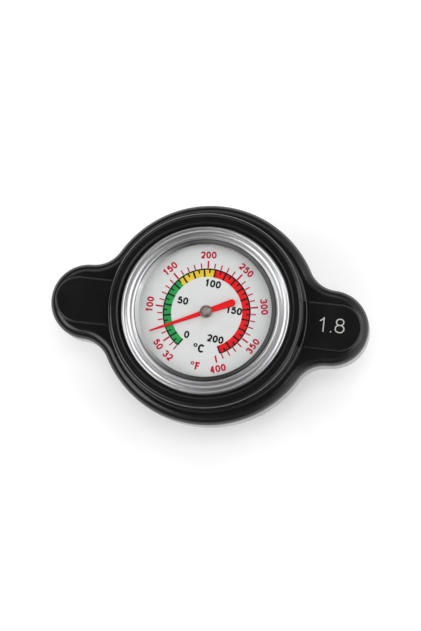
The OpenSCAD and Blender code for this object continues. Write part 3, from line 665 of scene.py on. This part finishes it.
def makePointer(s):
    tailHalf, tip = s["tailWidth"] / 2, s["tipRound"]
    tailMiddle = tailHalf - s["tail"]

    def halfWidth(x):
        if x >= 0:
            return s["width"] / 2 + (s["tipWidth"] - s["width"]) / 2 * x / s["length"]
        if x >= tailMiddle:
            return s["width"] / 2 + (s["tailWidth"] - s["width"]) / 2 * x / tailMiddle
        return max(s["tailLeast"], math.sqrt(max(0.0, tailHalf ** 2 - (x - tailMiddle) ** 2)))

    stations = [s["length"] - tip * k / 4 for k in range(5)]
    stations += [s["length"] * (1 - k / 12) for k in range(1, 13)]
    stations += [tailMiddle * k / 6 for k in range(1, 7)]
    stations += [tailMiddle - tailHalf * math.sin(math.radians(7.5 * k)) for k in range(1, 13)]
    low, high = s["low"], s["high"]
    loops = []
    for x in stations:
        w = halfWidth(x)
        if x > s["length"] - tip:
            w *= math.sqrt(max(s["tipLeast"], 1 - ((x - s["length"] + tip) / tip) ** 2))
        e = min(s["edge"], w * s["edgeShare"])
        c = s["corner"] * e
        loops.append([(x, y, z) for y, z in (
            (-w, low), (w, low), (w, high - e), (w - c, high - c),
            (w - e, high), (-w + e, high), (-w + c, high - c), (-w, high - e))])
    shape = bmesh.new()
    addLoops(shape, loops)
    bmesh.ops.rotate(shape, cent=(0, 0, 0), verts=shape.verts,
                     matrix=Matrix.Rotation(math.radians(dialAngle(s["celsius"])), 3, "Z"))
    piece = addPiece("pointerBlade", shape, "pointerRed", "pointer")
    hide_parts("pointer")


makePointer(pointerBlade)
print("pointer made")


# wound pieces: round springs and the flat bimetal helix; run is how far an end goes on straight

mainSpring = {"radius": 9.4, "wire": 1.5, "turns": 5, "low": -13.8, "high": -1.7, "endPitch": 2.0,
              "run": 1.5, "perTurn": 40, "sides": 16}
vacuumSpring = {"radius": 4.8, "wire": 0.5, "turns": 3.5, "low": -21.7, "high": -18.2, "endPitch": 1.0,
                "run": 0.5, "perTurn": 40, "sides": 10}
bimetalHelix = {"radius": 1.45, "strip": (0.3, 1.1), "turns": 9, "low": -28.9, "high": -9.9,
                "run": 0.3, "perTurn": 24}


def helixRise(t, s):
    height = s["high"] - s["low"]
    end = s.get("endPitch", height / s["turns"])
    middle = (height - 2 * end) / (s["turns"] - 2)
    if t < 1:
        return end * t
    if t < s["turns"] - 1:
        return end + middle * (t - 1)
    return height - end * (s["turns"] - t)


def makeHelix(s, section):
    steps = int(s["turns"] * s["perTurn"])
    stops = [(k / s["perTurn"], 0.0) for k in range(steps + 1)]
    stops = [(0.0, -s["run"])] + stops + [(s["turns"], s["run"])]
    loops = []
    for t, extra in stops:
        out, along = axesAt(360 * t)
        middle = s["radius"] * out + extra * along + Vector((0, 0, s["low"] + helixRise(t, s)))
        loops.append([middle + r * out + Vector((0, 0, z)) for r, z in section])
    shape = bmesh.new()
    addLoops(shape, loops)
    return shape


def roundSection(s):
    return [polar(s["wire"] / 2, 360 * i / s["sides"]) for i in range(s["sides"])]


def stripSection(s):
    w, h = (v / 2 for v in s["strip"])
    return [(w, h), (-w, h), (-w, -h), (w, -h)]


def makeSprings():
    shape = makeHelix(mainSpring, roundSection(mainSpring))
    piece = addPiece("pressureSpring", shape, "springSteel", "seal_carrier")
    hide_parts("main_spring")
    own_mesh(piece)
    shape = makeHelix(vacuumSpring, roundSection(vacuumSpring))
    piece = addPiece("returnSpring", shape, "springSteel", "pressure_valve")
    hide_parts("vacuum_spring")
    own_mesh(piece)
    shape = makeHelix(bimetalHelix, stripSection(bimetalHelix))
    piece = addPiece("bimetalHelix", shape, "bimetalStrip", "cap")
    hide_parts("bimetal_coil")


makeSprings()
print("springs wound")


# floor, light and surroundings

stageSettings = {
    "floorSize": 6.0, "floorDrop": 0.02 * mm,
    "floorColour": (0.90, 0.90, 0.90), "floorRough": 0.9, "floorSpecular": 0.1,
    # a glow makes the paper white; it fades out under the cap as a painted shadow from occlusion, and grows away
    # from the middle
    "lift": 0.44, "shade": (0.72, 0.92), "coverReach": 38 * mm, "coverSamples": 8,
    "farRange": (0.3, 1.5), "farGain": 1.7,
    "pictureUp": 96.2,          # where the picture's upper edge points, degrees from X
    "lampDistance": 0.9,
}


def bearingAngle(bearing):  # a bearing is in degrees clockwise from the picture's top
    return math.radians(stageSettings["pictureUp"] - bearing)


def addFloor(s):
    shape = bmesh.new()
    bmesh.ops.create_grid(shape, x_segments=2, y_segments=2, size=s["floorSize"] / 2)
    data = bpy.data.meshes.new("floor")
    shape.to_mesh(data)
    shape.free()
    floor = bpy.data.objects.new("floor", data)
    scene.collection.objects.link(floor)
    floor.location.z = cadBox[0].z - s["floorDrop"]
    made, tree, shader = newMaterial("floorPaper", specular=s["floorSpecular"])
    shader.inputs["Base Color"].default_value = (*s["floorColour"], 1)
    shader.inputs["Roughness"].default_value = s["floorRough"]
    path = addNode(tree, "ShaderNodeLightPath")
    mirrored = mathNode(tree, "MAXIMUM", path.outputs["Is Glossy Ray"], path.outputs["Is Transmission Ray"])
    seen = mathNode(tree, "MAXIMUM", path.outputs["Is Camera Ray"], mirrored)
    # painted shadow: the glow fades where the cap occludes the paper
    cover = addNode(tree, "ShaderNodeAmbientOcclusion", {"Distance": s["coverReach"]}, samples=s["coverSamples"])
    shadowedGlow = rampNode(tree, cover.outputs["AO"], *s["shade"], 0.0, s["lift"])
    place = addNode(tree, "ShaderNodeTexCoord")
    away = addNode(tree, "ShaderNodeVectorMath", {0: place.outputs["Object"]}, operation="LENGTH")
    farLift = rampNode(tree, away.outputs["Value"], *s["farRange"], 1.0, s["farGain"])
    strength = mathNode(tree, "MULTIPLY", seen, mathNode(tree, "MULTIPLY", shadowedGlow, farLift))
    glow = addNode(tree, "ShaderNodeEmission", {"Color": (1, 1, 1, 1), "Strength": strength})
    paper = addNode(tree, "ShaderNodeAddShader", {0: shader.outputs[0], 1: glow.outputs[0]})
    surface = addNode(tree, "ShaderNodeNewGeometry")
    clear = addNode(tree, "ShaderNodeBsdfTransparent")  # from below one looks through the paper
    oneSided = addNode(tree, "ShaderNodeMixShader",
                       {0: surface.outputs["Backfacing"], 1: paper.outputs[0], 2: clear.outputs[0]})
    feed(tree, tree.nodes["Material Output"].inputs["Surface"], oneSided.outputs[0])
    data.materials.append(made)


# softboxes: bearing, degrees above the floor, size in metres, power; gloss doesn't mirror the overhead key
lamps = {
    "leftSoftbox": {"bearing": 252, "height": 57, "size": (0.46, 0.46), "watts": 1.6, "mirrored": True},
    "rightSoftbox": {"bearing": 82, "height": 60, "size": (0.6, 0.6), "watts": 1.7, "mirrored": True},
    "topSoftbox": {"bearing": 345, "height": 52, "size": (0.6, 0.45), "watts": 0.6, "mirrored": True},
    "overheadKey": {"bearing": 105, "height": 83, "size": (0.12, 0.12), "watts": 1.1, "mirrored": False},
}


def addLamps(settings):
    for name, s in settings.items():
        data = bpy.data.lights.new(name, "AREA")
        data.shape = "RECTANGLE"
        data.size, data.size_y = s["size"]
        data.energy = s["watts"]
        lamp = bpy.data.objects.new(name, data)
        scene.collection.objects.link(lamp)
        around, above = bearingAngle(s["bearing"]), math.radians(s["height"])
        level = math.cos(above)
        toward = Vector((math.cos(around) * level, math.sin(around) * level, math.sin(above)))
        lamp.location = stageSettings["lampDistance"] * toward
        lamp.rotation_mode = "QUATERNION"
        lamp.rotation_quaternion = (-toward).to_track_quat("-Z", "Y")
        lamp.visible_glossy = s["mirrored"]


skyLook = {
    # level of the surroundings from below to overhead
    "stops": ((0.0, 0.8), (0.5, 0.50), (0.70, 0.85), (0.90, 0.75), (0.95, 0.18), (0.975, 0.10)),
    # low down they are bright only on one side of the picture
    "brightBearing": 97, "sideRange": (0.2, 0.85), "sideLevels": (0.22, 1.6), "lowRange": (0.58, 0.74),
    # they are brighter both ways along this bearing, and dim across it
    "lobeBearing": 75, "lobeRange": (0.12, 0.5), "lobeLow": 0.42,
    # gloss and glass see white below this height
    "horizon": (0.05, 0.12),
}


def towardBearing(tree, place, bearing):  # 1 where a direction points along the bearing, -1 the other way
    around = bearingAngle(bearing)
    toward = addNode(tree, "ShaderNodeVectorMath", operation="DOT_PRODUCT",
                     values={0: place.outputs["Generated"], 1: (math.cos(around), math.sin(around), 0)})
    return toward.outputs["Value"]


def addSky(s):
    world = bpy.data.worlds.new("studio")
    scene.world = world
    world.use_nodes = True
    tree = world.node_tree
    place = addNode(tree, "ShaderNodeTexCoord")
    height = addNode(tree, "ShaderNodeSeparateXYZ", {0: place.outputs["Generated"]}).outputs[2]
    ramp = addNode(tree, "ShaderNodeValToRGB", {"Fac": rampNode(tree, height, -1.0, 1.0)})
    points = ramp.color_ramp.elements
    while len(points) < len(s["stops"]):
        points.new(0.5)
    for point, (at, level) in zip(points, s["stops"]):
        point.position = at
        point.color = (level, level, level, 1)
    side = rampNode(tree, towardBearing(tree, place, s["brightBearing"]), *s["sideRange"],
                    *(level - 1.0 for level in s["sideLevels"]))
    gain = mathNode(tree, "MULTIPLY", side, rampNode(tree, height, *s["lowRange"], 1.0, 0.0))
    level = mathNode(tree, "MULTIPLY", ramp.outputs["Color"], mathNode(tree, "ADD", gain, 1.0))
    axis = mathNode(tree, "ABSOLUTE", towardBearing(tree, place, s["lobeBearing"]))
    level = mathNode(tree, "MULTIPLY", level, rampNode(tree, axis, *s["lobeRange"], s["lobeLow"], 1.0))
    path = addNode(tree, "ShaderNodeLightPath")
    mirrored = mathNode(tree, "MAXIMUM", path.outputs["Is Glossy Ray"], path.outputs["Is Transmission Ray"])
    low = mathNode(tree, "MULTIPLY", mirrored, rampNode(tree, height, *s["horizon"], 1.0, 0.0))
    white = mathNode(tree, "MAXIMUM", low, path.outputs["Is Camera Ray"])
    background = tree.nodes["Background"]
    background.inputs["Color"].default_value = (1, 1, 1, 1)
    feed(tree, background.inputs["Strength"], mathNode(tree, "MAXIMUM", level, white))


addFloor(stageSettings)
addLamps(lamps)
addSky(skyLook)
print("stage lit")
